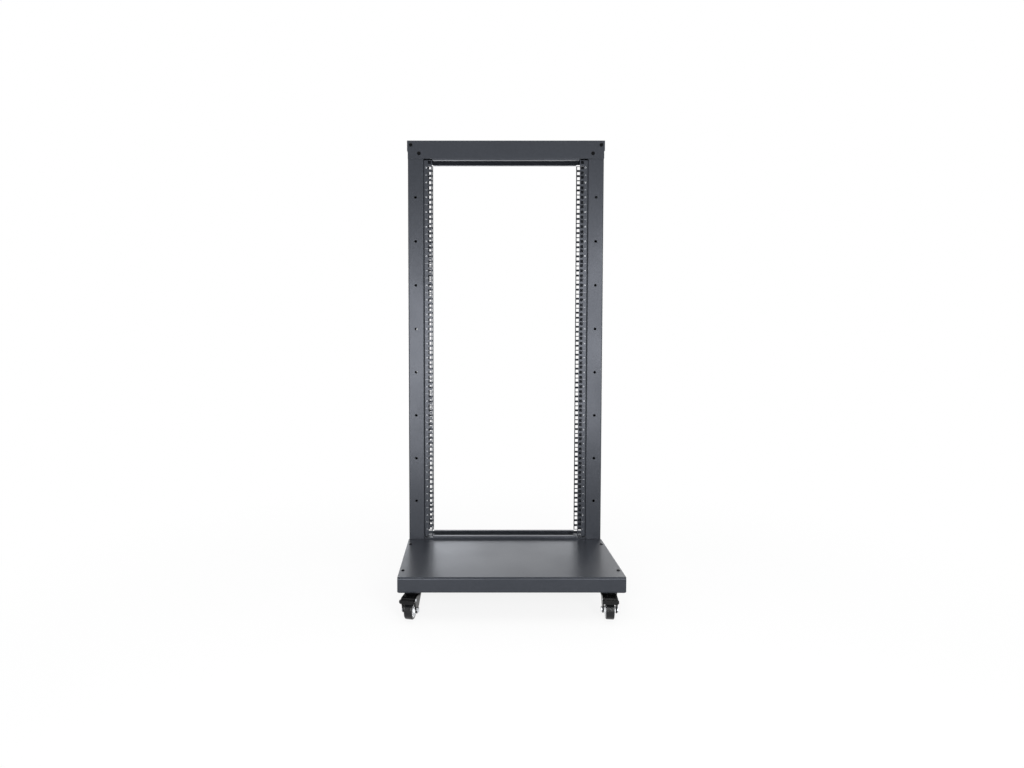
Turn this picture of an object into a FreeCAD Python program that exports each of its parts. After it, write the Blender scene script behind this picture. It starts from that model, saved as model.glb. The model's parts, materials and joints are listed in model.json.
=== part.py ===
# Open-frame rack for nineteen-inch equipment: two posts and two rails at the back of a covered base
# on four swivel casters, the front two with a brake.
# Millimetres, +Z up, front towards -Y, origin on the floor below the middle of the base.

import FreeCAD, Part
import os
import re
import Sketcher

# Driving sizes, each one a cell of the sheet
SIZES = {
    # Equipment grid
    "rack_units": 26,
    "unit_height": 44.45,
    "column_pitch": 465.1,
    "opening_width": 450,
    "hole_side": 9.5,
    "hole_low": 6.35,
    "hole_mid": 22.225,
    "hole_high": 38.1,
    # Folded sheet steel
    "sheet": 2,
    "bend_inside": 1,
    # Rails and posts
    "rail_flange": 25,
    "rail_end_gap": 4.5,
    "post_width": 48,
    "post_depth": 72,
    "post_lip": 15,
    "post_hole": 8,
    "post_hole_units": 3,
    "post_hole_inset": 23,
    # Top beam and sill
    "beam_height": 58.8,
    "beam_clear": 0.5,
    "beam_lip": 12,
    "lip_end_gap": 1,
    "tab_height": 32,
    "tab_slant": 10,
    "tab_slit": 1,
    # Base
    "base_depth": 400,
    "base_height": 41,
    "base_flange": 60,
    "base_bend": 3,
    "base_corner": 2.5,
    "cover_sheet": 2,
    "cover_edge": 0.8,
    "cover_gap": 2.2,
    "first_unit_rise": 11,
    # Casters
    "caster_side_inset": 37,
    "caster_end_inset": 40,
    "caster_trail": 22,
    "raceway_diameter": 46,
    "raceway_height": 13.2,
    "raceway_rim": 5,
    "raceway_slant": 3,
    "head_gap": 8,
    "stem_diameter": 10,
    "stem_height": 22,
    "kingpin_diameter": 10,
    "kingpin_head": 18,
    "kingpin_head_height": 3,
    "run_gap": 0.3,
    "shaft_fit": 0.05,
    "wheel_diameter": 50,
    "tread_width": 22,
    "tread_height": 6,
    "tread_edge": 3,
    "hub_rim": 3,
    "hub_recess": 2,
    "hub_boss": 16,
    "hub_end_gap": 0.5,
    "wheel_gap": 5,
    "fork_leg": 3.5,
    "fork_top": 4,
    "fork_front": 17,
    "fork_inset": 1,
    "fork_skirt": 5,
    "fork_boss": 18,
    "fork_shoulder": 10,
    "fork_corner": 4,
    "axle_diameter": 8,
    "axle_nut": 13,
    "axle_nut_height": 3.5,
    # Brake pedal
    "pivot_drop": 1,
    "pivot_pin": 5,
    "pivot_boss": 10,
    "ear_edge": 5,
    "pedal_gap": 1,
    "pedal_sheet": 3.5,
    "pedal_width": 42,
    "pedal_neck_gap": 3,
    "pedal_arm": 16,
    "pedal_length": 21.5,
    "pedal_drop": 5.5,
    "pedal_bend": 3,
    "pedal_bevel": 9,
    "pedal_wing": 5,
}

doc = FreeCAD.newDocument("open_frame_rack")
sheet = doc.addObject("Spreadsheet::Sheet", "Sizes")
for row, (size_name, size) in enumerate(SIZES.items(), start=1):
    sheet.set(f"A{row}", size_name)
    sheet.set(f"B{row}", str(size))
    sheet.setAlias(f"B{row}", size_name)
doc.recompute()

# Heights and half widths inside a caster, in its own frame: swivel axis on Z, wheel towards -Y
WHEEL_RADIUS = "(wheel_diameter / 2)"
FORK_UNDER = "(wheel_diameter + head_gap)"
FORK_HEAD = f"({FORK_UNDER} + fork_top)"
KINGPIN_SEAT = f"({FORK_UNDER} - run_gap)"
RACEWAY_FOOT = f"({FORK_HEAD} + run_gap)"
CASTER_HEIGHT = f"({RACEWAY_FOOT} + raceway_height)"
FORK_PLATE = "(raceway_diameter / 2 - fork_inset)"
FORK_INSIDE = "(tread_width / 2 + wheel_gap)"
FORK_OUTSIDE = f"({FORK_INSIDE} + fork_leg)"

# The pedal turns where its boss clears the tread by the wheel's gap
PIVOT_HEIGHT = f"({FORK_UNDER} - pivot_drop)"
PIVOT_RADIUS = f"({WHEEL_RADIUS} + wheel_gap + pivot_boss / 2)"
PIVOT_REACH = f"(caster_trail + sqrt({PIVOT_RADIUS}^2 - ({PIVOT_HEIGHT} - {WHEEL_RADIUS})^2))"
EAR_REACH = f"({PIVOT_REACH} + ear_edge)"

# Places that several pieces share, worked out from the driving sizes
POST_INNER = "(opening_width / 2 + rail_flange)"
POST_OUTER = f"({POST_INNER} + post_width)"
HALF_WIDTH = f"({POST_OUTER} + sheet)"
HALF_DEPTH = "(base_depth / 2)"
FRAME_BACK = f"({HALF_DEPTH} - sheet)"
FRAME_FRONT = f"({FRAME_BACK} - post_depth)"
BASE_TOP = f"({CASTER_HEIGHT} + base_height)"
RAIL_FOOT = f"({BASE_TOP} + first_unit_rise)"
RAIL_LENGTH = "(rack_units * unit_height)"
RAIL_HEAD = f"({RAIL_FOOT} + {RAIL_LENGTH})"
TOP = f"({RAIL_HEAD} + beam_clear + beam_height)"
LIP_LENGTH = "(opening_width - 2 * lip_end_gap)"
BEND_OUTSIDE = "(sheet + bend_inside)"
BASE_BEND_OUTSIDE = "(sheet + base_bend)"


def bound(text):
    """Expression in which each size is a cell of the sheet."""
    return re.sub(r"[a-z_]+", lambda word: ("Sizes." if word[0] in SIZES else "") + word[0], text)


def value(text):
    """Number that an expression gives with the sizes in the sheet."""
    return float(sheet.evalExpression(bound(text)))


def new_body(label):
    body = doc.addObject("PartDesign::Body", label)
    body.Label = label
    return body


def origin_feature(body, role):
    return next(feature for feature in body.Origin.OriginFeatures if feature.Role == role)


def sketch_on(body, plane, rise="0", lift="0"):
    """Sketch on a plane of the body's origin, moved along its normal and along its own upright axis."""
    sketch = body.newObject("Sketcher::SketchObject", body.Label + "_sketch")
    sketch.AttachmentSupport = [(origin_feature(body, plane), "")]
    sketch.MapMode = "FlatFace"
    sketch.setExpression("AttachmentOffset.Base.z", bound(rise))
    sketch.setExpression("AttachmentOffset.Base.y", bound(lift))
    return sketch


def draw_outline(sketch, corners):
    """Closed outline of straight edges, with each corner placed by two expressions."""
    points = [FreeCAD.Vector(value(across), value(up), 0) for across, up in corners]
    first = sketch.GeometryCount
    for start, end in zip(points, points[1:] + points[:1]):
        sketch.addGeometry(Part.LineSegment(start, end))
    for index, places in enumerate(corners):
        edge = first + index
        following = first + (index + 1) % len(corners)
        sketch.addConstraint(Sketcher.Constraint("Coincident", edge, 2, following, 1))
        for kind, place in zip(("DistanceX", "DistanceY"), places):
            number = sketch.addConstraint(Sketcher.Constraint(kind, -1, 1, edge, 1, value(place)))
            sketch.setExpression(f"Constraints[{number}]", bound(place))


def draw_circle(sketch, across, up, diameter):
    centre = FreeCAD.Vector(value(across), value(up), 0)
    circle = sketch.addGeometry(Part.Circle(centre, FreeCAD.Vector(0, 0, 1), value(diameter) / 2))
    for kind, place in (("DistanceX", across), ("DistanceY", up)):
        number = sketch.addConstraint(Sketcher.Constraint(kind, -1, 1, circle, 3, value(place)))
        sketch.setExpression(f"Constraints[{number}]", bound(place))
    number = sketch.addConstraint(Sketcher.Constraint("Diameter", circle, value(diameter)))
    sketch.setExpression(f"Constraints[{number}]", bound(diameter))


def box_corners(low_across, low_up, high_across, high_up):
    return [(low_across, low_up), (high_across, low_up), (high_across, high_up), (low_across, high_up)]


def pad(body, sketch, length, side_type="Symmetric"):
    feature = body.newObject("PartDesign::Pad", body.Label + "_pad")
    feature.Profile = sketch
    feature.SideType = side_type
    feature.setExpression("Length", bound(length))
    doc.recompute()
    return feature


def pocket(body, sketch, length=None):
    """Cut along the sketch's normal, right through both ways unless a length is given."""
    before = body.Shape.Volume
    feature = body.newObject("PartDesign::Pocket", body.Label + "_pocket")
    feature.Profile = sketch
    feature.SideType = "Symmetric"
    if length is None:
        feature.Type = "ThroughAll"
    else:
        feature.setExpression("Length", bound(length))
    doc.recompute()
    if feature.Shape.Volume >= before:
        raise RuntimeError(f"{feature.Label} cuts nothing")
    return feature


def revolve(body, sketch, axis):
    feature = body.newObject("PartDesign::Revolution", body.Label + "_turning")
    feature.Profile = sketch
    feature.ReferenceAxis = (sketch, [axis])
    feature.Angle = 360
    doc.recompute()
    return feature


def repeat_up(body, feature, pitch, count):
    """Row of copies of a cut, straight up."""
    pattern = body.newObject("PartDesign::LinearPattern", body.Label + "_row")
    pattern.Originals = [feature]
    pattern.Direction = (origin_feature(body, "Z_Axis"), [""])
    pattern.Mode = "Extent"
    pattern.setExpression("Length", bound(f"({pitch}) * ({count} - 1)"))
    pattern.setExpression("Occurrences", bound(count))
    body.Tip = pattern
    doc.recompute()
    return pattern


def fillet(body, names, radius):
    """Round the named edges of what the body is so far."""
    base = body.Tip
    feature = body.newObject("PartDesign::Fillet", body.Label + "_round")
    feature.Base = (base, names)
    feature.setExpression("Radius", bound(radius))
    doc.recompute()
    return feature


def round_edges(body, along, lines, radius):
    """Round the straight edges along one axis that lie on the given lines."""
    across = [index for index in range(3) if index != along]
    places = {tuple(round(value(place), 3) for place in line) for line in lines}
    names = []
    for number, edge in enumerate(body.Tip.Shape.Edges, start=1):
        ends = {tuple(round(vertex.Point[index], 3) for index in across) for vertex in edge.Vertexes}
        if len(edge.Vertexes) == 2 and len(ends) == 1 and ends <= places:
            names.append(f"Edge{number}")
    return fillet(body, names, radius)


def round_rings(body, ring_radius, radius):
    """Round the circular edges of one radius."""
    names = []
    for number, edge in enumerate(body.Tip.Shape.Edges, start=1):
        if isinstance(edge.Curve, Part.Circle) and abs(edge.Curve.Radius - value(ring_radius)) < 0.001:
            names.append(f"Edge{number}")
    return fillet(body, names, radius)


def post(label, side):
    """Upright of lipped C section, with its open side to the rail and a row of bolt holes."""
    body = new_body(label)
    body.setExpression("Placement.Base.z", bound(BASE_TOP))
    inner, outer = f"{side} * {POST_INNER}", f"{side} * {POST_OUTER}"
    inner_wall, outer_wall = f"{inner} + {side} * sheet", f"{outer} - {side} * sheet"
    front_wall, back_wall = f"{FRAME_FRONT} + sheet", f"{FRAME_BACK} - sheet"
    front_lip, back_lip = f"{FRAME_FRONT} + post_lip", f"{FRAME_BACK} - post_lip"
    section = sketch_on(body, "XY_Plane")
    draw_outline(section, [
        (inner, FRAME_FRONT), (outer, FRAME_FRONT), (outer, FRAME_BACK), (inner, FRAME_BACK),
        (inner, back_lip), (inner_wall, back_lip), (inner_wall, back_wall), (outer_wall, back_wall),
        (outer_wall, front_wall), (inner_wall, front_wall), (inner_wall, front_lip), (inner, front_lip),
    ])
    pad(body, section, f"{TOP} - {BEND_OUTSIDE} - {BASE_TOP}", "One side")
    round_edges(body, 2, [(x, y) for x in (inner, outer) for y in (FRAME_FRONT, FRAME_BACK)], BEND_OUTSIDE)
    round_edges(body, 2, [(x, y) for x in (inner_wall, outer_wall) for y in (front_wall, back_wall)],
                "bend_inside")
    holes = sketch_on(body, "XZ_Plane")
    first_hole = "first_unit_rise + (post_hole_units - 0.5) * unit_height"
    hole_count = "floor(rack_units / post_hole_units)"
    draw_circle(holes, f"{outer} - {side} * post_hole_inset", first_hole, "post_hole")
    repeat_up(body, pocket(body, holes), "post_hole_units * unit_height", hole_count)
    return body


def rail(label, side):
    """Equipment rail of U section, with three square holes in each rack unit of both flanges."""
    body = new_body(label)
    body.setExpression("Placement.Base.z", bound(RAIL_FOOT))
    edge, web = f"{side} * opening_width / 2", f"{side} * {POST_INNER}"
    web_wall = f"{web} - {side} * sheet"
    front_wall, back_wall = f"{FRAME_FRONT} + sheet", f"{FRAME_BACK} - sheet"
    section = sketch_on(body, "XY_Plane")
    draw_outline(section, [
        (edge, FRAME_FRONT), (web, FRAME_FRONT), (web, FRAME_BACK), (edge, FRAME_BACK),
        (edge, back_wall), (web_wall, back_wall), (web_wall, front_wall), (edge, front_wall),
    ])
    pad(body, section, RAIL_LENGTH, "One side")
    round_edges(body, 2, [(web, FRAME_FRONT), (web, FRAME_BACK)], BEND_OUTSIDE)
    round_edges(body, 2, [(web_wall, front_wall), (web_wall, back_wall)], "bend_inside")
    holes = sketch_on(body, "XZ_Plane")
    column = f"{side} * column_pitch / 2"
    for height in ("hole_low", "hole_mid", "hole_high"):
        draw_outline(holes, box_corners(
            f"{column} - hole_side / 2", f"{height} - hole_side / 2",
            f"{column} + hole_side / 2", f"{height} + hole_side / 2"))
    repeat_up(body, pocket(body, holes), "unit_height", "rack_units")
    return body


def lipped_beam(label, front, back, half_length, web, edge, lip_edge, inward):
    """Channel across the frame; between the rails its flanges reach further and end in a lip."""
    body = new_body(label)
    front_wall, back_wall = f"{front} + sheet", f"{back} - sheet"
    web_wall, lip_wall = f"{web} + {inward} * sheet", f"{lip_edge} - {inward} * sheet"
    section = sketch_on(body, "YZ_Plane")
    draw_outline(section, [
        (front, edge), (front, web), (back, web), (back, edge),
        (back_wall, edge), (back_wall, web_wall), (front_wall, web_wall), (front_wall, edge),
    ])
    pad(body, section, f"2 * {half_length}")
    lips = sketch_on(body, "YZ_Plane")
    front_tip, back_tip = f"{front} + beam_lip", f"{back} - beam_lip"
    for face, wall, tip in ((front, front_wall, front_tip), (back, back_wall, back_tip)):
        draw_outline(lips, [
            (face, edge), (face, lip_edge), (tip, lip_edge), (tip, lip_wall), (wall, lip_wall), (wall, edge),
        ])
    pad(body, lips, LIP_LENGTH)
    round_edges(body, 0, [(front, lip_edge), (back, lip_edge)], BEND_OUTSIDE)
    round_edges(body, 0, [(front_wall, lip_wall), (back_wall, lip_wall)], "bend_inside")
    round_edges(body, 0, [(front_wall, web_wall), (back_wall, web_wall)], "bend_inside")
    return body


def top_beam():
    """Cap over the posts: a lipped beam with a slanted tab down the outside of each post."""
    front, back = f"({FRAME_FRONT} - sheet)", HALF_DEPTH
    body = lipped_beam("top_beam", front, back, HALF_WIDTH, TOP, f"{RAIL_HEAD} + rail_end_gap",
                       f"{RAIL_HEAD} + beam_clear", -1)
    tab_front, tab_back = f"{FRAME_FRONT} + tab_slit", f"{FRAME_BACK} - tab_slit"
    tab_foot = f"{TOP} - tab_height"
    for side in (-1, 1):
        tab = sketch_on(body, "YZ_Plane", f"{side} * ({POST_OUTER} + sheet / 2)")
        draw_outline(tab, [
            (tab_front, f"{TOP} - sheet"), (tab_back, f"{TOP} - sheet"),
            (tab_back, f"{tab_foot} + tab_slant"), (f"{tab_back} - tab_slant", tab_foot),
            (f"{tab_front} + tab_slant", tab_foot), (tab_front, f"{tab_foot} + tab_slant"),
        ])
        pad(body, tab, "sheet")
    ends = sketch_on(body, "XZ_Plane")
    for side in (-1, 1):
        draw_outline(ends, box_corners(
            f"{side} * {POST_OUTER}", RAIL_HEAD, f"{side} * ({HALF_WIDTH} + sheet)", tab_foot))
    pocket(body, ends)
    round_edges(body, 0, [(front, TOP), (back, TOP)], BEND_OUTSIDE)
    return body


def sill_beam():
    """Shallow lipped beam on the base, across the foot of the opening."""
    body = lipped_beam("sill_beam", FRAME_FRONT, FRAME_BACK, POST_INNER, BASE_TOP,
                       f"{RAIL_FOOT} - rail_end_gap", f"{RAIL_FOOT} - beam_clear", 1)
    round_edges(body, 0, [(FRAME_FRONT, BASE_TOP), (FRAME_BACK, BASE_TOP)], BEND_OUTSIDE)
    return body


def base_side(label, side):
    """Side channel of the base, open inwards, with a stem hole for each of its two casters."""
    body = new_body(label)
    face, tip = f"{side} * {HALF_WIDTH}", f"{side} * ({HALF_WIDTH} - base_flange)"
    wall = f"{face} - {side} * sheet"
    upper_wall, lower_wall = f"{BASE_TOP} - sheet", f"{CASTER_HEIGHT} + sheet"
    section = sketch_on(body, "XZ_Plane")
    draw_outline(section, [
        (tip, BASE_TOP), (face, BASE_TOP), (face, CASTER_HEIGHT), (tip, CASTER_HEIGHT),
        (tip, lower_wall), (wall, lower_wall), (wall, upper_wall), (tip, upper_wall),
    ])
    pad(body, section, "base_depth - 2 * sheet")
    round_edges(body, 1, [(face, BASE_TOP), (face, CASTER_HEIGHT)], BASE_BEND_OUTSIDE)
    round_edges(body, 1, [(wall, lower_wall), (wall, upper_wall)], "base_bend")
    holes = sketch_on(body, "XY_Plane", CASTER_HEIGHT)
    for end in (-1, 1):
        draw_circle(holes, f"{side} * ({HALF_WIDTH} - caster_side_inset)",
                    f"{end} * ({HALF_DEPTH} - caster_end_inset)", "stem_diameter + 2 * shaft_fit")
    pocket(body, holes, f"2 * {BEND_OUTSIDE}")
    return body


def base_end(label, end):
    """Front or rear channel of the base, as wide as the base, its flanges notched for the side channels."""
    body = new_body(label)
    face, tip = f"{end} * {HALF_DEPTH}", f"{end} * ({HALF_DEPTH} - base_flange)"
    wall = f"{face} - {end} * sheet"
    upper_wall, lower_wall = f"{BASE_TOP} - sheet", f"{CASTER_HEIGHT} + sheet"
    section = sketch_on(body, "YZ_Plane")
    draw_outline(section, [
        (tip, BASE_TOP), (face, BASE_TOP), (face, CASTER_HEIGHT), (tip, CASTER_HEIGHT),
        (tip, lower_wall), (wall, lower_wall), (wall, upper_wall), (tip, upper_wall),
    ])
    pad(body, section, f"2 * {HALF_WIDTH}")
    round_edges(body, 0, [(face, BASE_TOP), (face, CASTER_HEIGHT)], BASE_BEND_OUTSIDE)
    round_edges(body, 0, [(wall, lower_wall), (wall, upper_wall)], "base_bend")
    notches = sketch_on(body, "XY_Plane")
    corners = sketch_on(body, "XZ_Plane")
    for side in (-1, 1):
        draw_outline(notches, box_corners(
            f"{side} * ({HALF_WIDTH} - base_flange)", wall,
            f"{side} * ({HALF_WIDTH} + base_flange)", f"{tip} - {end} * sheet"))
        beyond = f"{side} * ({HALF_WIDTH} + base_corner)"
        draw_outline(corners, [
            (f"{side} * ({HALF_WIDTH} - 2 * base_corner)", f"{CASTER_HEIGHT} - base_corner"),
            (beyond, f"{CASTER_HEIGHT} + 2 * base_corner"), (beyond, f"{CASTER_HEIGHT} - base_corner"),
        ])
    pocket(body, notches)
    pocket(body, corners)
    return body


def base_cover():
    """Flat cover of the base in front of the posts."""
    body = new_body("base_cover")
    plate = sketch_on(body, "XY_Plane", BASE_TOP)
    draw_outline(plate, box_corners(
        f"-{HALF_WIDTH}", f"-{HALF_DEPTH}", HALF_WIDTH, f"{FRAME_FRONT} - cover_gap"))
    pad(body, plate, "cover_sheet", "One side")
    top = f"{BASE_TOP} + cover_sheet"
    round_edges(body, 0, [(f"-{HALF_DEPTH}", top)], "cover_edge")
    round_edges(body, 1, [(f"-{HALF_WIDTH}", top), (HALF_WIDTH, top)], "cover_edge")
    return body


def caster_body(label, place, heading):
    """Body in a caster's own frame, turned to the caster's heading."""
    body = new_body(label)
    body.Placement = FreeCAD.Placement(FreeCAD.Vector(), FreeCAD.Rotation(FreeCAD.Vector(0, 0, 1), heading))
    body.setExpression("Placement.Base.x", bound(place[0]))
    body.setExpression("Placement.Base.y", bound(place[1]))
    return body


def axle_sketch(body):
    """Sketch in the upright plane through the axle, with its level axis on the axle."""
    return sketch_on(body, "XZ_Plane", "caster_trail", WHEEL_RADIUS)


def caster_stem(label, place, heading):
    """Fixed top of a caster: stem, raceway and kingpin."""
    body = caster_body(label, place, heading)
    profile = sketch_on(body, "XZ_Plane")
    draw_outline(profile, [
        ("0", f"{KINGPIN_SEAT} - kingpin_head_height"),
        ("kingpin_head / 2", f"{KINGPIN_SEAT} - kingpin_head_height"),
        ("kingpin_head / 2", KINGPIN_SEAT),
        ("kingpin_diameter / 2", KINGPIN_SEAT),
        ("kingpin_diameter / 2", RACEWAY_FOOT),
        ("raceway_diameter / 2 - raceway_slant", RACEWAY_FOOT),
        ("raceway_diameter / 2", f"{CASTER_HEIGHT} - raceway_rim"),
        ("raceway_diameter / 2", CASTER_HEIGHT),
        ("stem_diameter / 2", CASTER_HEIGHT),
        ("stem_diameter / 2", f"{CASTER_HEIGHT} + stem_height"),
        ("0", f"{CASTER_HEIGHT} + stem_height"),
    ])
    revolve(body, profile, "V_Axis")
    return body


def caster_fork(label, place, heading, braked):
    """Swivel fork: two tapered legs below a flared head, with ears for the pedal where it has a brake."""
    body = caster_body(label, place, heading)
    back = f"-{EAR_REACH}" if braked else "-(caster_trail + fork_boss / 2)"
    back_foot = f"{PIVOT_HEIGHT} - ear_edge" if braked else FORK_UNDER
    legs = sketch_on(body, "YZ_Plane")
    draw_outline(legs, [
        ("fork_front", FORK_HEAD), ("fork_front", FORK_UNDER),
        ("-caster_trail + fork_boss / 2", WHEEL_RADIUS), ("-caster_trail - fork_boss / 2", WHEEL_RADIUS),
        (back, back_foot), (back, FORK_HEAD),
    ])
    pad(body, legs, f"2 * {FORK_OUTSIDE}")
    round_edges(body, 0, [("fork_front", FORK_UNDER)], "fork_shoulder")
    round_edges(body, 0, [(back, back_foot), (back, FORK_HEAD)], "fork_corner")
    bosses = sketch_on(body, "YZ_Plane")
    draw_circle(bosses, "-caster_trail", WHEEL_RADIUS, "fork_boss")
    pad(body, bosses, f"2 * {FORK_OUTSIDE}")
    skirt = f"{FORK_UNDER} - fork_skirt"
    head = sketch_on(body, "XZ_Plane")
    draw_outline(head, [
        ("0", skirt), (FORK_OUTSIDE, skirt),
        (FORK_PLATE, FORK_UNDER), (FORK_PLATE, FORK_HEAD), ("0", FORK_HEAD),
    ])
    revolve(body, head, "V_Axis")
    slot = sketch_on(body, "YZ_Plane")
    slot_back = f"-2 * {EAR_REACH}"
    slot_corners = box_corners(slot_back, "0", f"2 * {FORK_PLATE}", FORK_UNDER)
    if braked:
        head_back = f"-({PIVOT_REACH} - pivot_boss / 2 - pedal_gap)"
        slot_corners[3:] = [(head_back, FORK_UNDER), (head_back, CASTER_HEIGHT), (slot_back, CASTER_HEIGHT)]
    draw_outline(slot, slot_corners)
    pocket(body, slot, f"2 * {FORK_INSIDE}")
    kingpin_hole = sketch_on(body, "XY_Plane")
    draw_circle(kingpin_hole, "0", "0", "kingpin_diameter + 2 * shaft_fit")
    pocket(body, kingpin_hole)
    pin_holes = sketch_on(body, "YZ_Plane")
    draw_circle(pin_holes, "-caster_trail", WHEEL_RADIUS, "axle_diameter + 2 * shaft_fit")
    if braked:
        draw_circle(pin_holes, f"-{PIVOT_REACH}", PIVOT_HEIGHT, "pivot_pin + 2 * shaft_fit")
    pocket(body, pin_holes)
    return body


def caster_axle(label, place, heading):
    """Axle bolt with a hexagon head and nut outside the fork's legs."""
    body = caster_body(label, place, heading)
    shaft = sketch_on(body, "YZ_Plane")
    draw_circle(shaft, "-caster_trail", WHEEL_RADIUS, "axle_diameter")
    pad(body, shaft, f"2 * {FORK_OUTSIDE}")
    for side_face in (FORK_OUTSIDE, f"-({FORK_OUTSIDE} + axle_nut_height)"):
        hexagon = sketch_on(body, "YZ_Plane", side_face)
        draw_outline(hexagon, [
            (f"-caster_trail + axle_nut / 2 * cos({angle})", f"{WHEEL_RADIUS} + axle_nut / 2 * sin({angle})")
            for angle in range(0, 360, 60)
        ])
        pad(body, hexagon, "axle_nut_height", "One side")
    return body


def caster_tyre(label, place, heading):
    """Tread ring with round shoulders."""
    body = caster_body(label, place, heading)
    profile = axle_sketch(body)
    draw_outline(profile, box_corners(
        "-tread_width / 2", f"{WHEEL_RADIUS} - tread_height", "tread_width / 2", WHEEL_RADIUS))
    revolve(body, profile, "H_Axis")
    round_rings(body, WHEEL_RADIUS, "tread_edge")
    return body


def caster_hub(label, place, heading):
    """Wheel core inside the tread: a rim, a recessed disc and a boss that runs on the axle."""
    body = caster_body(label, place, heading)
    bore, boss = "axle_diameter / 2 + shaft_fit", "hub_boss / 2"
    rim, seat = f"{WHEEL_RADIUS} - tread_height - hub_rim", f"{WHEEL_RADIUS} - tread_height"
    face, disc, end = "tread_width / 2", "tread_width / 2 - hub_recess", f"{FORK_INSIDE} - hub_end_gap"
    profile = axle_sketch(body)
    half = [(end, bore), (end, boss), (disc, boss), (disc, rim), (face, rim), (face, seat)]
    other_half = [(f"-({across})", up) for across, up in reversed(half)]
    draw_outline(profile, half + other_half)
    revolve(body, profile, "H_Axis")
    return body


def brake_pedal(label, place, heading):
    """Brake pedal on a cross pin between the fork's ears: a short arm and a wider flap for the foot."""
    body = caster_body(label, place, heading)
    inner_width = f"2 * ({FORK_INSIDE} - pedal_gap)"
    boss = sketch_on(body, "YZ_Plane")
    draw_circle(boss, f"-{PIVOT_REACH}", PIVOT_HEIGHT, "pivot_boss")
    pad(body, boss, inner_width)
    top, under = f"{PIVOT_HEIGHT} + pedal_sheet / 2", f"{PIVOT_HEIGHT} - pedal_sheet / 2"
    neck = f"-({EAR_REACH} + pedal_neck_gap)"
    arm = sketch_on(body, "YZ_Plane")
    draw_outline(arm, box_corners(neck, under, f"-{PIVOT_REACH}", top))
    pad(body, arm, inner_width)
    shoulder, reach = f"-({PIVOT_REACH} + pedal_arm)", f"-({PIVOT_REACH} + pedal_length)"
    tip = f"{PIVOT_HEIGHT} - pedal_drop"
    flap = sketch_on(body, "YZ_Plane")
    draw_outline(flap, [
        (neck, top), (shoulder, top), (reach, tip),
        (f"{reach} + pedal_sheet", tip), (f"{shoulder} + pedal_sheet / 2", under), (neck, under),
    ])
    pad(body, flap, "pedal_width")
    round_edges(body, 0, [(shoulder, top), (f"{shoulder} + pedal_sheet / 2", under)], "pedal_bend")
    bevels = sketch_on(body, "XY_Plane")
    for side in (-1, 1):
        wing = f"{side} * pedal_width / 2"
        draw_outline(bevels, [
            (f"{wing} - {side} * pedal_bevel", reach), (wing, reach), (wing, f"{reach} + pedal_wing"),
        ])
    pocket(body, bevels)
    pin = sketch_on(body, "YZ_Plane")
    draw_circle(pin, f"-{PIVOT_REACH}", PIVOT_HEIGHT, "pivot_pin")
    pad(body, pin, f"2 * {FORK_OUTSIDE}")
    return body


def caster(corner, side, end, heading, braked):
    """The pieces of one caster; heading turns its trailing wheel from -Y, in degrees."""
    place = (f"{side} * ({HALF_WIDTH} - caster_side_inset)", f"{end} * ({HALF_DEPTH} - caster_end_inset)")
    pieces = [
        caster_stem(f"{corner}_caster_stem", place, heading),
        caster_fork(f"{corner}_caster_fork", place, heading, braked),
        caster_axle(f"{corner}_caster_axle", place, heading),
        caster_tyre(f"{corner}_caster_tyre", place, heading),
        caster_hub(f"{corner}_caster_hub", place, heading),
    ]
    if braked:
        pieces.append(brake_pedal(f"{corner}_brake_pedal", place, heading))
    return pieces


pieces = [
    post("left_post", -1),
    post("right_post", 1),
    rail("left_rail", -1),
    rail("right_rail", 1),
    top_beam(),
    sill_beam(),
    base_side("base_left_channel", -1),
    base_side("base_right_channel", 1),
    base_end("base_front_channel", -1),
    base_end("base_rear_channel", 1),
    base_cover(),
]
pieces += caster("front_left", -1, -1, -12, True)
pieces += caster("front_right", 1, -1, -6, True)
pieces += caster("rear_left", -1, 1, 180, False)
pieces += caster("rear_right", 1, 1, 180, False)

# Every feature has to be sound, and every piece one closed solid, before anything is written
doc.recompute()
for item in doc.Objects:
    if "Invalid" in item.State or "Error" in item.State:
        raise RuntimeError(f"{item.Label} failed: {item.State}")
for piece in pieces:
    if piece.Shape.isNull() or not piece.Shape.isValid() or len(piece.Shape.Solids) != 1:
        raise RuntimeError(f"{piece.Label} is not one sound solid")

os.makedirs("parts", exist_ok=True)
for piece in pieces:
    piece.Shape.exportStep(f"parts/{piece.Label}.step")
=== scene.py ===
import json
import math

import bmesh
import bpy
from mathutils import Matrix, Vector


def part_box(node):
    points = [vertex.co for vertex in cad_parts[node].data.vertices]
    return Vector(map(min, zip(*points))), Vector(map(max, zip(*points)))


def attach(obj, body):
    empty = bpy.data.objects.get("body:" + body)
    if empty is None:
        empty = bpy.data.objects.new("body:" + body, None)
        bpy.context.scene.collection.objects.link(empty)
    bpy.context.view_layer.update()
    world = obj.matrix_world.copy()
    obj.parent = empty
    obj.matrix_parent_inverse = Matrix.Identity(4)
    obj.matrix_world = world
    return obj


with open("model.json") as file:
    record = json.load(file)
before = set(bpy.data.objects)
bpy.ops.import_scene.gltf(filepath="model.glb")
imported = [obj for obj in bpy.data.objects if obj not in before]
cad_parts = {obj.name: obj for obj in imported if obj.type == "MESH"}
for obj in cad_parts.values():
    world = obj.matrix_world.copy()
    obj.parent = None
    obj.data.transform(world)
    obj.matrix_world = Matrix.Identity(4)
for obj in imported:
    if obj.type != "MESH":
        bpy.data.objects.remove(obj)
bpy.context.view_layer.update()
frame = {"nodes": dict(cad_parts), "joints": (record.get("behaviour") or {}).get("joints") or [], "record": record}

# Lengths are in metres, apart from the camera's lens, which is in millimetres

# Camera, at the photograph's height and to the left of the rack's middle
CAMERA_PLACE = (-0.1112, -1.8782, 0.7409)
CAMERA_PITCH_DOWN = math.radians(2.6)
CAMERA_LENS = 22.898
CAMERA_SHIFT = (0.0417, -0.015)

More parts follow.
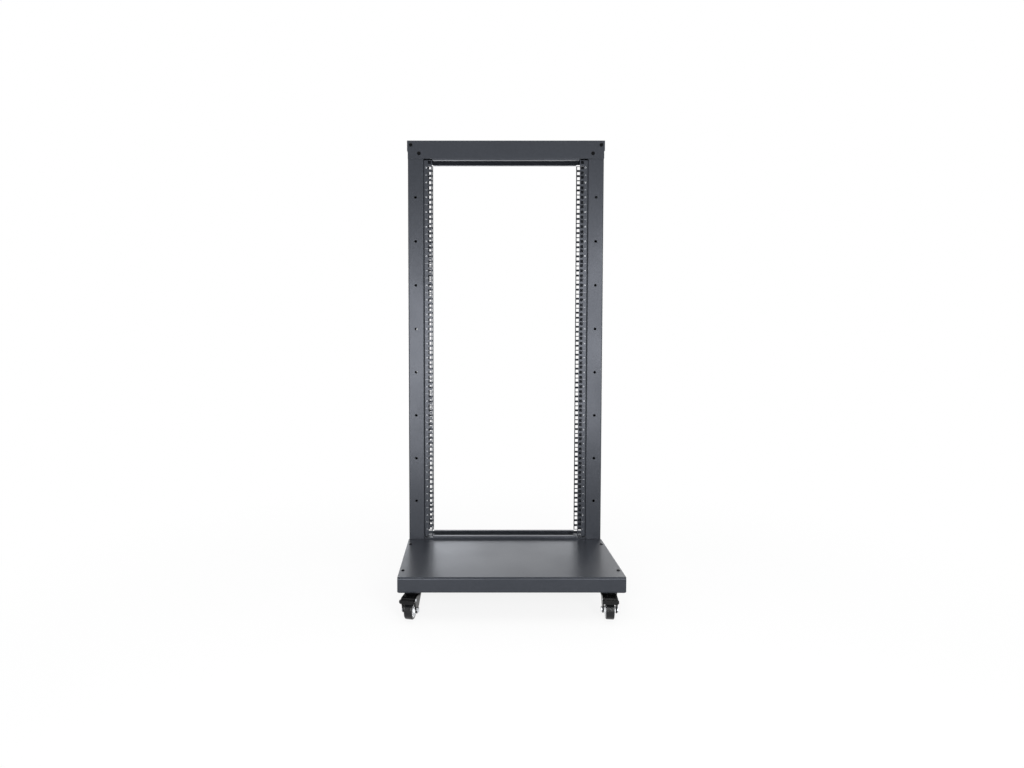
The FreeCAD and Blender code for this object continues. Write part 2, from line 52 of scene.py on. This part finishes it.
# Surround: its level as soft light, the floor's share of white beside the rack and where that grows to 1
AMBIENT_LEVEL = 0.5
FLOOR_RADIUS = 6.0
FLOOR_SIDES = 64
FLOOR_WHITE_SHARE = 0.86
FLOOR_FADE = (0.3, 1.7)
WHITE = "#ffffff"
COOL_WHITE = "#f0f6ff"

# Lamps: name, place, point that it faces, size, radiance and colour
LAMPS = (
    ("front_left_lamp", (-0.44, -1.9, 0.55), (-0.28, 0.12, 0.6), (0.5, 1.4), 12.0, WHITE),
    ("front_right_lamp", (0.65, -1.9, 0.77), (0.28, 0.12, 0.8), (0.5, 1.28), 11.0, WHITE),
    ("top_lamp", (0.0, -0.4, 3.2), (0.0, 0.0, 0.6), (2.4, 2.4), 1.6, WHITE),
    ("rear_lamp", (0.02, 3.0, 1.0), (0.0, 0.2, 0.7), (1.76, 0.9), 0.95, COOL_WHITE),
    ("rear_inner_lamp", (-0.34, 3.0, 1.0), (-0.1, 0.2, 0.7), (0.5, 0.9), 1.0, COOL_WHITE),
    ("rear_left_lamp", (-1.35, 2.5, 0.8), (-0.2, 0.2, 0.7), (0.5, 1.2), 7.0, WHITE),
    ("rear_right_lamp", (1.35, 2.5, 0.8), (0.2, 0.2, 0.7), (0.5, 1.2), 7.0, WHITE),
)

# Folded sheet of the frame, plate of the pedals and half the width of a fork
SHEET = 0.002
PEDAL_SHEET = 0.0035
FORK_HALF = 0.0195

# Screws, nuts, washers and rivets, with the length, width and height of each
BEAM_BOLT_PLACES = ((0.011, 0.0135), (0.036, 0.039))  # in from the beam's end and down from its top
BEAM_BOLT_HEAD = (0.011, 0.011, 0.0034)
COVER_SCREW_INSET = (0.010, 0.050)  # in from the cover's sides, and from its front and rear
COVER_SCREW_HEAD = (0.0095, 0.0095, 0.0022)
STEM_WASHER = (0.022, 0.022, 0.0018)
STEM_NUT = (0.0196, 0.0196, 0.008)
STEM_BORE = 0.0102
PIN_HEAD = (0.0082, 0.0082, 0.0016)

# Sides of the rings that those parts are made of, and the shares of length and width left at a bar's top
ROUND_SIDES = 24
WASHER_SIDES = 32
HEXAGON_SIDES = 6
BAR_TOP_SHARES = (0.96, 0.6)

# Print on the rails: the middle of its column lies in from the rail's outer edge
RACK_UNIT = 0.04445
PRINT_INSET = 0.0077
PRINT_FILM = 0.00008
NUMBER_SIZE = 0.0052
NUMBER_SMOOTHNESS = 2
TICK = (0.0074, 0.0004)

# Ribs on the brake pedals: length, width and height, and distances from the pivot
RIB = (0.032, 0.0012, 0.0009)
RIB_REACHES = (0.010, 0.013)

# Grain sizes of the finishes, of which the finest are drawn coarser so that they show, and of a rounded edge
POWDER_GRIT = 0.0016
POWDER_MOTTLE = 0.007
HANDLING_SMEAR = 0.16
PAINT_RIPPLE = 0.004
PLATING_SPANGLE = 0.0012
TREAD_SCUFF = 0.003
MOULD_GRAIN = 0.0009
BLACKING_SPECKLE = 0.0008
INK_SPECKLE = 0.0007
EDGE_ROUNDING = 0.0006
EDGE_SAMPLES = 4

# Where most values of a noise lie
NOISE_LOW, NOISE_HIGH = 0.3, 0.7

# Sockets of a colour mix, by number, because its sockets for other values have the same names
MIX_SHARE, MIX_FIRST, MIX_SECOND = 0, 6, 7
MIX_COLOUR = 2


def linear(colour):
    """Linear RGBA of an sRGB hex colour."""
    shares = [int(colour[start:start + 2], 16) / 255 for start in (1, 3, 5)]
    return tuple(c / 12.92 if c <= 0.04045 else ((c + 0.055) / 1.055) ** 2.4 for c in shares) + (1.0,)


def add(tree, kind, inputs=None, **settings):
    """Node with its settings, and with a value or another node's output on each named input."""
    node = tree.nodes.new(kind)
    for name, setting in settings.items():
        setattr(node, name, setting)
    for key, source in (inputs or {}).items():
        if isinstance(source, bpy.types.NodeSocket):
            tree.links.new(source, node.inputs[key])
        else:
            node.inputs[key].default_value = source
    return node


def new_material(name):
    """Material with an empty node tree, and that tree."""
    material = bpy.data.materials.new(name)
    material.use_nodes = True
    material.node_tree.nodes.clear()
    return material, material.node_tree


def graphite_powder_coat():
    """Polyester powder, sprayed and baked on steel: dark satin film whose fine grit spreads reflections."""
    material, tree = new_material("graphite_powder_coat_finish")
    place = add(tree, "ShaderNodeTexCoord").outputs["Object"]
    # The real grit is about half a millimetre; it is drawn three times as coarse so that it shows
    grit = add(tree, "ShaderNodeTexNoise", {"Vector": place, "Scale": 1 / POWDER_GRIT, "Detail": 2.0})
    mottle = add(tree, "ShaderNodeTexNoise", {"Vector": place, "Scale": 1 / POWDER_MOTTLE, "Detail": 3.0})
    smear = add(tree, "ShaderNodeTexNoise", {"Vector": place, "Scale": 1 / HANDLING_SMEAR, "Detail": 4.0})
    colour = add(tree, "ShaderNodeMix", {
        MIX_SHARE: mottle.outputs["Fac"], MIX_FIRST: linear("#202327"), MIX_SECOND: linear("#292b30")},
        data_type="RGBA")
    roughness = add(tree, "ShaderNodeMapRange", {
        "Value": smear.outputs["Fac"], "From Min": NOISE_LOW, "From Max": NOISE_HIGH,
        "To Min": 0.28, "To Max": 0.35})
    rounded = add(tree, "ShaderNodeBevel", {"Radius": EDGE_ROUNDING}, samples=EDGE_SAMPLES)
    bump = add(tree, "ShaderNodeBump", {
        "Strength": 0.35, "Distance": POWDER_GRIT / 8, "Height": grit.outputs["Fac"],
        "Normal": rounded.outputs["Normal"]})
    shader = add(tree, "ShaderNodeBsdfPrincipled", {
        "Base Color": colour.outputs[MIX_COLOUR], "Roughness": roughness.outputs["Result"], "IOR": 1.5,
        "Specular IOR Level": 0.35, "Specular Tint": linear("#edf2ff"), "Normal": bump.outputs["Normal"]})
    add(tree, "ShaderNodeOutputMaterial", {"Surface": shader.outputs[0]})
    return material


def black_caster_steel():
    """Pressed steel with a black dipped paint: glossy, a little wavy where the paint ran before baking."""
    material, tree = new_material("black_caster_steel_finish")
    place = add(tree, "ShaderNodeTexCoord").outputs["Object"]
    ripple = add(tree, "ShaderNodeTexNoise", {"Vector": place, "Scale": 1 / PAINT_RIPPLE, "Detail": 2.0})
    colour = add(tree, "ShaderNodeMix", {
        MIX_SHARE: ripple.outputs["Fac"], MIX_FIRST: linear("#060607"), MIX_SECOND: linear("#0d0d0e")},
        data_type="RGBA")
    roughness = add(tree, "ShaderNodeMapRange", {
        "Value": ripple.outputs["Fac"], "From Min": NOISE_LOW, "From Max": NOISE_HIGH,
        "To Min": 0.22, "To Max": 0.34})
    rounded = add(tree, "ShaderNodeBevel", {"Radius": EDGE_ROUNDING}, samples=EDGE_SAMPLES)
    bump = add(tree, "ShaderNodeBump", {
        "Strength": 0.2, "Distance": PAINT_RIPPLE / 20, "Height": ripple.outputs["Fac"],
        "Normal": rounded.outputs["Normal"]})
    shader = add(tree, "ShaderNodeBsdfPrincipled", {
        "Base Color": colour.outputs[MIX_COLOUR], "Roughness": roughness.outputs["Result"], "IOR": 1.5,
        "Specular IOR Level": 0.18, "Normal": bump.outputs["Normal"]})
    add(tree, "ShaderNodeOutputMaterial", {"Surface": shader.outputs[0]})
    return material


def bright_zinc_plate():
    """Bright zinc on turned steel: pale silver with a fine spangle in its gloss."""
    material, tree = new_material("bright_zinc_plate_finish")
    place = add(tree, "ShaderNodeTexCoord").outputs["Object"]
    spangle = add(tree, "ShaderNodeTexVoronoi", {"Vector": place, "Scale": 1 / PLATING_SPANGLE})
    colour = add(tree, "ShaderNodeMix", {
        MIX_SHARE: spangle.outputs["Color"], MIX_FIRST: linear("#b9bcc1"), MIX_SECOND: linear("#d5d7da")},
        data_type="RGBA")
    roughness = add(tree, "ShaderNodeMapRange", {
        "Value": spangle.outputs["Distance"], "From Max": 0.8, "To Min": 0.2, "To Max": 0.36})
    shader = add(tree, "ShaderNodeBsdfPrincipled", {
        "Base Color": colour.outputs[MIX_COLOUR], "Roughness": roughness.outputs["Result"], "Metallic": 1.0})
    add(tree, "ShaderNodeOutputMaterial", {"Surface": shader.outputs[0]})
    return material


def black_polyurethane_tread():
    """Cast polyurethane: smooth glossy black, dulled in small scuffs where it has rolled."""
    material, tree = new_material("black_polyurethane_tread_finish")
    place = add(tree, "ShaderNodeTexCoord").outputs["Object"]
    scuff = add(tree, "ShaderNodeTexNoise", {"Vector": place, "Scale": 1 / TREAD_SCUFF, "Detail": 4.0})
    colour = add(tree, "ShaderNodeMix", {
        MIX_SHARE: scuff.outputs["Fac"], MIX_FIRST: linear("#08090a"), MIX_SECOND: linear("#141517")},
        data_type="RGBA")
    roughness = add(tree, "ShaderNodeMapRange", {
        "Value": scuff.outputs["Fac"], "From Min": 0.35, "From Max": 0.7, "To Min": 0.16, "To Max": 0.36})
    bump = add(tree, "ShaderNodeBump", {
        "Strength": 0.2, "Distance": TREAD_SCUFF / 20, "Height": scuff.outputs["Fac"]})
    shader = add(tree, "ShaderNodeBsdfPrincipled", {
        "Base Color": colour.outputs[MIX_COLOUR], "Roughness": roughness.outputs["Result"], "IOR": 1.5,
        "Specular IOR Level": 0.3, "Normal": bump.outputs["Normal"]})
    add(tree, "ShaderNodeOutputMaterial", {"Surface": shader.outputs[0]})
    return material


def moulded_nylon(name, dark, light, roughest, gloss):
    """Injection-moulded nylon: even colour, soft gloss and a fine grain from the mould."""
    material, tree = new_material(name)
    place = add(tree, "ShaderNodeTexCoord").outputs["Object"]
    grain = add(tree, "ShaderNodeTexNoise", {"Vector": place, "Scale": 1 / MOULD_GRAIN, "Detail": 2.0})
    colour = add(tree, "ShaderNodeMix", {
        MIX_SHARE: grain.outputs["Fac"], MIX_FIRST: linear(dark), MIX_SECOND: linear(light)},
        data_type="RGBA")
    roughness = add(tree, "ShaderNodeMapRange", {
        "Value": grain.outputs["Fac"], "From Min": NOISE_LOW, "From Max": NOISE_HIGH,
        "To Min": roughest - 0.1, "To Max": roughest})
    bump = add(tree, "ShaderNodeBump", {
        "Strength": 0.15, "Distance": MOULD_GRAIN / 10, "Height": grain.outputs["Fac"]})
    shader = add(tree, "ShaderNodeBsdfPrincipled", {
        "Base Color": colour.outputs[MIX_COLOUR], "Roughness": roughness.outputs["Result"], "IOR": 1.53,
        "Specular IOR Level": gloss, "Normal": bump.outputs["Normal"]})
    add(tree, "ShaderNodeOutputMaterial", {"Surface": shader.outputs[0]})
    return material


def blackened_steel():
    """Screws with a black oxide: dark metal, slightly oily, paler in specks."""
    material, tree = new_material("blackened_steel_finish")
    place = add(tree, "ShaderNodeTexCoord").outputs["Object"]
    speckle = add(tree, "ShaderNodeTexNoise", {
        "Vector": place, "Scale": 1 / BLACKING_SPECKLE, "Detail": 2.0})
    colour = add(tree, "ShaderNodeMix", {
        MIX_SHARE: speckle.outputs["Fac"], MIX_FIRST: linear("#050506"), MIX_SECOND: linear("#131416")},
        data_type="RGBA")
    roughness = add(tree, "ShaderNodeMapRange", {
        "Value": speckle.outputs["Fac"], "From Min": NOISE_LOW, "From Max": NOISE_HIGH,
        "To Min": 0.26, "To Max": 0.4})
    shader = add(tree, "ShaderNodeBsdfPrincipled", {
        "Base Color": colour.outputs[MIX_COLOUR], "Roughness": roughness.outputs["Result"], "Metallic": 0.8,
        "Specular IOR Level": 0.2})
    add(tree, "ShaderNodeOutputMaterial", {"Surface": shader.outputs[0]})
    return material


def white_print():
    """Screen-printed ink: matt white, thin in places where the grit stands through."""
    material, tree = new_material("white_print_finish")
    place = add(tree, "ShaderNodeTexCoord").outputs["Object"]
    speckle = add(tree, "ShaderNodeTexNoise", {"Vector": place, "Scale": 1 / INK_SPECKLE, "Detail": 2.0})
    colour = add(tree, "ShaderNodeMix", {
        MIX_SHARE: speckle.outputs["Fac"], MIX_FIRST: linear("#c9ccd1"), MIX_SECOND: linear("#eceef0")},
        data_type="RGBA")
    shader = add(tree, "ShaderNodeBsdfPrincipled", {
        "Base Color": colour.outputs[MIX_COLOUR], "Roughness": 0.6, "IOR": 1.5})
    add(tree, "ShaderNodeOutputMaterial", {"Surface": shader.outputs[0]})
    return material


def new_piece(name, data):
    """Object at the origin, in the scene."""
    piece = bpy.data.objects.new(name, data)
    bpy.context.scene.collection.objects.link(piece)
    return piece


def mesh_of(work, name):
    """Mesh of a finished bmesh, which is freed."""
    mesh = bpy.data.meshes.new(name)
    work.to_mesh(mesh)
    work.free()
    return mesh


def plain_mesh(piece):
    """Mesh of an object as its text or its modifiers shape it; the object is removed."""
    shaped = piece.evaluated_get(bpy.context.evaluated_depsgraph_get())
    mesh = bpy.data.meshes.new_from_object(shaped)
    bpy.data.objects.remove(piece)
    return mesh


def ringed_part(name, rings, hollow=False):
    """Unit part from rings of (radius, height, sides), each joined to the next; a hollow one joins up."""
    work = bmesh.new()
    loops = []
    for radius, height, sides in rings:
        turns = [2 * math.pi * step / sides for step in range(sides)]
        ring = [work.verts.new((radius * math.cos(t), radius * math.sin(t), height)) for t in turns]
        loops.append([work.edges.new((a, b)) for a, b in zip(ring, ring[1:] + ring[:1])])
    followers = loops[1:] + loops[:1] if hollow else loops[1:]
    for loop, following in zip(loops, followers):
        bmesh.ops.bridge_loops(work, edges=loop + following)
    if not hollow:
        bmesh.ops.contextual_create(work, geom=loops[0])
        bmesh.ops.contextual_create(work, geom=loops[-1])
    bmesh.ops.recalc_face_normals(work, faces=work.faces)
    return new_piece(name, mesh_of(work, name))


def button_head():
    """Screw head: a low dome with a hexagon socket."""
    outline = ((0.5, 0), (0.5, 0.25), (0.46, 0.6), (0.36, 0.88), (0.29, 1))
    dome = [(radius, height, ROUND_SIDES) for radius, height in outline]
    socket = [(0.25, height, HEXAGON_SIDES) for height in (1, 0.35)]
    return ringed_part("button_head", dome + socket)


def rivet_head():
    """Rivet head: a low dome, flattened at its top."""
    outline = ((0.5, 0), (0.5, 0.2), (0.44, 0.62), (0.3, 0.9), (0.12, 1))
    return ringed_part("rivet_head", [(radius, height, ROUND_SIDES) for radius, height in outline])


def flat_washer():
    """Washer with the stem's bore."""
    bore = STEM_BORE / STEM_WASHER[0] / 2
    section = ((0.5, 0), (0.5, 1), (bore, 1), (bore, 0))
    rings = [(radius, height, WASHER_SIDES) for radius, height in section]
    return ringed_part("flat_washer", rings, hollow=True)


def hexagon_nut():
    """Nut with the stem's bore, its corners bevelled at both ends."""
    bore = STEM_BORE / STEM_NUT[0] / 2
    flanks = ((0.46, 0), (0.5, 0.1), (0.5, 0.9), (0.46, 1))
    outside = [(radius, height, HEXAGON_SIDES) for radius, height in flanks]
    inside = [(bore, height, ROUND_SIDES) for height in (1, 0)]
    return ringed_part("hexagon_nut", outside + inside, hollow=True)


def tapered_bar():
    """Unit bar, a little narrower at its top."""
    work = bmesh.new()
    bmesh.ops.create_cube(work, size=1.0, matrix=Matrix.Translation((0, 0, 0.5)))
    for corner in work.verts:
        if corner.co.z > 0.5:
            corner.co.x *= BAR_TOP_SHARES[0]
            corner.co.y *= BAR_TOP_SHARES[1]
    return new_piece("bar", mesh_of(work, "bar"))


def seats_tree():
    """Like parts, each stood on its seat: a unit part is scaled to size, faced outwards and turned."""
    tree = bpy.data.node_groups.new("parts_on_seats", "GeometryNodeTree")
    for name, kind in (("Seats", "NodeSocketGeometry"), ("Part", "NodeSocketObject"),
                       ("Length", "NodeSocketFloat"), ("Width", "NodeSocketFloat"),
                       ("Height", "NodeSocketFloat"), ("Finish", "NodeSocketMaterial")):
        tree.interface.new_socket(name, in_out="INPUT", socket_type=kind)
    tree.interface.new_socket("Parts", in_out="OUTPUT", socket_type="NodeSocketGeometry")
    given = add(tree, "NodeGroupInput").outputs
    facing = add(tree, "GeometryNodeInputNamedAttribute", {"Name": "facing"}, data_type="FLOAT_VECTOR")
    along = add(tree, "GeometryNodeInputNamedAttribute", {"Name": "along"}, data_type="FLOAT_VECTOR")
    stood = add(tree, "FunctionNodeAlignRotationToVector", {"Vector": facing.outputs[0]}, axis="Z")
    turned = add(tree, "FunctionNodeAlignRotationToVector", {
        "Rotation": stood.outputs[0], "Vector": along.outputs[0]}, axis="X", pivot_axis="Z")
    size = add(tree, "ShaderNodeCombineXYZ", {
        "X": given["Length"], "Y": given["Width"], "Z": given["Height"]})
    part = add(tree, "GeometryNodeObjectInfo", {"Object": given["Part"]})
    placed = add(tree, "GeometryNodeInstanceOnPoints", {
        "Points": given["Seats"], "Instance": part.outputs["Geometry"], "Rotation": turned.outputs[0],
        "Scale": size.outputs[0]})
    real = add(tree, "GeometryNodeRealizeInstances", {"Geometry": placed.outputs["Instances"]})
    painted = add(tree, "GeometryNodeSetMaterial", {
        "Geometry": real.outputs["Geometry"], "Material": given["Finish"]})
    add(tree, "NodeGroupOutput", {"Parts": painted.outputs["Geometry"]})
    return tree


def stand_on_seats(name, part, seats, size, finish, body):
    """Piece of like parts; each seat is a place, the way the part faces and the way its length runs."""
    mesh = bpy.data.meshes.new(name + "_seats")
    mesh.from_pydata([seat[0] for seat in seats], [], [])
    for column, attribute in ((1, "facing"), (2, "along")):
        values = mesh.attributes.new(attribute, "FLOAT_VECTOR", "POINT").data
        for value, seat in zip(values, seats):
            value.vector = seat[column]
    bed = new_piece(name + "_bed", mesh)
    modifier = bed.modifiers.new("seats", "NODES")
    modifier.node_group = SEATS
    given = {"Part": part, "Length": size[0], "Width": size[1], "Height": size[2], "Finish": finish}
    for socket in SEATS.interface.items_tree:
        if socket.in_out == "INPUT" and socket.name in given:
            modifier[socket.identifier] = given[socket.name]
    piece = new_piece(name, plain_mesh(bed))
    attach(piece, body)


def joints_ending(ending):
    """Joints whose names end with the given words."""
    return [joint for joint in frame["joints"] if joint["name"].endswith(ending)]


def beam_bolts(part, finish):
    """Two bolts at each end of the top beam, through its front and rear flanges into the posts."""
    low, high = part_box("top_beam")
    seats = []
    for inset, drop in BEAM_BOLT_PLACES:
        for x in (low.x + inset, high.x - inset):
            for y, way in ((low.y, -1), (high.y, 1)):
                seats.append(((x, y, high.z - drop), (0, way, 0), (1, 0, 0)))
    stand_on_seats("beam_bolts", part, seats, BEAM_BOLT_HEAD, finish, "rack")


def cover_screws(part, finish):
    """A screw near each corner of the cover."""
    low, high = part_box("base_cover")
    across, back = COVER_SCREW_INSET
    seats = [((x, y, high.z), (0, 0, 1), (1, 0, 0))
             for x in (low.x + across, high.x - across) for y in (low.y + back, high.y - back)]
    stand_on_seats("cover_screws", part, seats, COVER_SCREW_HEAD, finish, "rack")


def stem_nuts(washer, nut, finish):
    """Washer and nut on each caster's stem, inside the base."""
    flange_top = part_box("base_left_channel")[0].z + SHEET
    feet = [joint["pos_m"] for joint in joints_ending("swivel_turn")]
    for name, part, rise, size in (("stem_washers", washer, 0, STEM_WASHER),
                                   ("stem_nuts", nut, STEM_WASHER[2], STEM_NUT)):
        seats = [((x, y, flange_top + rise), (0, 0, 1), (1, 0, 0)) for x, y, _ in feet]
        stand_on_seats(name, part, seats, size, finish, "rack")


def pedal_ribs(part, finish):
    """Two ribs across the top of each brake pedal."""
    for joint in joints_ending("brake_press"):
        body, across = joint["child"], Vector(joint["axis"])
        outward = across.cross(Vector((0, 0, 1)))
        top = Vector(joint["pos_m"]) + Vector((0, 0, PEDAL_SHEET / 2))
        seats = [(top + outward * reach, (0, 0, 1), across) for reach in RIB_REACHES]
        stand_on_seats(body + "_pedal_ribs", part, seats, RIB, finish, body)


def pin_heads(part, finish):
    """Rivet head on each end of the pin that a brake pedal turns on, outside the fork's ears."""
    for joint in joints_ending("brake_press"):
        body, across = joint["child"], Vector(joint["axis"])
        pivot = Vector(joint["pos_m"])
        seats = [(pivot + across * FORK_HALF * way, across * way, (0, 0, 1)) for way in (-1, 1)]
        stand_on_seats(body + "_pin_heads", part, seats, PIN_HEAD, finish, body)


def print_columns():
    """Column of print on each rail: its middle, the rail's front, the rail's foot and its rack units."""
    columns = []
    for rail, way in (("left_rail", 1), ("right_rail", -1)):
        low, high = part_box(rail)
        middle = (low.x if way > 0 else high.x) + way * PRINT_INSET
        columns.append((middle, low.y, low.z, round((high.z - low.z) / RACK_UNIT)))
    return columns


def unit_ticks(part, finish):
    """Printed line at each step from one rack unit to the next."""
    seats = [((x, front, foot + step * RACK_UNIT), (0, -1, 0), (1, 0, 0))
             for x, front, foot, units in print_columns() for step in range(1, units)]
    stand_on_seats("unit_ticks", part, seats, (*TICK, PRINT_FILM), finish, "rack")


def unit_numbers(finish):
    """Printed number of each rack unit beside its holes, counted from the foot."""
    work = bmesh.new()
    upright = Matrix.Rotation(math.pi / 2, 4, "X")
    for x, front, foot, units in print_columns():
        for unit in range(units):
            text = bpy.data.curves.new("unit_number", "FONT")
            text.body = str(unit + 1)
            text.size = NUMBER_SIZE
            text.align_x, text.align_y = "CENTER", "CENTER"
            text.resolution_u = NUMBER_SMOOTHNESS
            text.extrude = PRINT_FILM / 2
            number = plain_mesh(new_piece("unit_number", text))
            middle = (x, front - PRINT_FILM / 2, foot + (unit + 0.5) * RACK_UNIT)
            number.transform(Matrix.Translation(middle) @ upright)
            work.from_mesh(number)
    mesh = mesh_of(work, "unit_numbers")
    mesh.materials.append(finish)
    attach(new_piece("unit_numbers", mesh), "rack")


def finish_frame(finishes):
    """Give each piece of the frame the finish of its slot."""
    for part in frame["record"]["subparts"]:
        for slot in frame["nodes"][part["node"]].material_slots:
            slot.material = finishes[part["material_slot"]]


def seen_rays(tree):
    """Output of 1 or more for rays that show what they meet: straight, mirrored or through glass."""
    ray = add(tree, "ShaderNodeLightPath").outputs
    straight_or_mirrored = add(tree, "ShaderNodeMath", {
        0: ray["Is Camera Ray"], 1: ray["Is Glossy Ray"]}, operation="ADD")
    seen = add(tree, "ShaderNodeMath", {
        0: straight_or_mirrored.outputs[0], 1: ray["Is Transmission Ray"]}, operation="ADD")
    return seen.outputs[0]


def white_surround():
    """World that shows as white and lights the rack softly at a lower level."""
    world = bpy.data.worlds.new("white_surround")
    world.use_nodes = True
    tree = world.node_tree
    tree.nodes.clear()
    level = add(tree, "ShaderNodeMapRange", {
        "Value": seen_rays(tree), "To Min": AMBIENT_LEVEL, "To Max": 1.0})
    sky = add(tree, "ShaderNodeBackground", {"Color": linear(WHITE), "Strength": level.outputs["Result"]})
    add(tree, "ShaderNodeOutputWorld", {"Surface": sky.outputs[0]})
    bpy.context.scene.world = world


def pale_floor():
    """Matt pale floor that keeps some of the rack's shadow beside it and shows as white further away."""
    material, tree = new_material("pale_floor_finish")
    place = add(tree, "ShaderNodeTexCoord").outputs["Object"]
    reach = add(tree, "ShaderNodeVectorMath", {0: place}, operation="LENGTH")
    whiteness = add(tree, "ShaderNodeMapRange", {
        "Value": reach.outputs["Value"], "From Min": FLOOR_FADE[0], "From Max": FLOOR_FADE[1],
        "To Min": FLOOR_WHITE_SHARE, "To Max": 1.0}, interpolation_type="SMOOTHSTEP")
    share = add(tree, "ShaderNodeMath", {
        0: seen_rays(tree), 1: whiteness.outputs["Result"]}, operation="MULTIPLY", use_clamp=True)
    matt = add(tree, "ShaderNodeBsdfDiffuse", {"Color": linear("#f2f2f2")})
    white = add(tree, "ShaderNodeEmission", {"Color": linear(WHITE), "Strength": 1.0})
    shader = add(tree, "ShaderNodeMixShader", {
        0: share.outputs[0], 1: matt.outputs[0], 2: white.outputs[0]})
    add(tree, "ShaderNodeOutputMaterial", {"Surface": shader.outputs[0]})
    work = bmesh.new()
    bmesh.ops.create_circle(work, cap_ends=True, segments=FLOOR_SIDES, radius=FLOOR_RADIUS)
    mesh = mesh_of(work, "floor")
    mesh.materials.append(material)
    new_piece("floor", mesh)


def lamps():
    """Soft lamps in front, above and behind, hidden from the camera itself."""
    for name, place, aim, size, radiance, colour in LAMPS:
        lamp = bpy.data.lights.new(name, "AREA")
        lamp.shape = "RECTANGLE"
        lamp.size, lamp.size_y = size
        lamp.energy = radiance * math.pi * size[0] * size[1]
        lamp.color = linear(colour)[:3]
        stand = new_piece(name, lamp)
        stand.location = place
        stand.rotation_euler = (Vector(aim) - Vector(place)).to_track_quat("-Z", "Y").to_euler()
        stand.visible_camera = False


def camera():
    """Camera at the photograph's viewing angle."""
    data = bpy.data.cameras.new("camera")
    data.lens = CAMERA_LENS
    data.shift_x, data.shift_y = CAMERA_SHIFT
    eye = new_piece("camera", data)
    eye.location = CAMERA_PLACE
    eye.rotation_euler = (math.pi / 2 - CAMERA_PITCH_DOWN, 0, 0)
    bpy.context.scene.camera = eye


bpy.context.scene.view_settings.view_transform = "Standard"
camera()
white_surround()
pale_floor()
lamps()

screw_black = blackened_steel()
print_white = white_print()
zinc = bright_zinc_plate()
pedal_black = moulded_nylon("black_pedal_finish", "#070708", "#0e0e10", roughest=0.32, gloss=0.18)
finish_frame({
    "graphite_powder_coat": graphite_powder_coat(),
    "black_caster_steel": black_caster_steel(),
    "zinc_plate": zinc,
    "black_tread": black_polyurethane_tread(),
    "pale_hub": moulded_nylon("natural_nylon_finish", "#d9dbde", "#ebedee", roughest=0.4, gloss=0.5),
    "black_pedal": pedal_black,
})

SEATS = seats_tree()
button = button_head()
rivet = rivet_head()
washer = flat_washer()
nut = hexagon_nut()
bar = tapered_bar()
beam_bolts(button, screw_black)
cover_screws(button, screw_black)
stem_nuts(washer, nut, zinc)
pedal_ribs(bar, pedal_black)
pin_heads(rivet, zinc)
unit_ticks(bar, print_white)
unit_numbers(print_white)
for pattern in (button, rivet, washer, nut, bar):
    bpy.data.objects.remove(pattern)
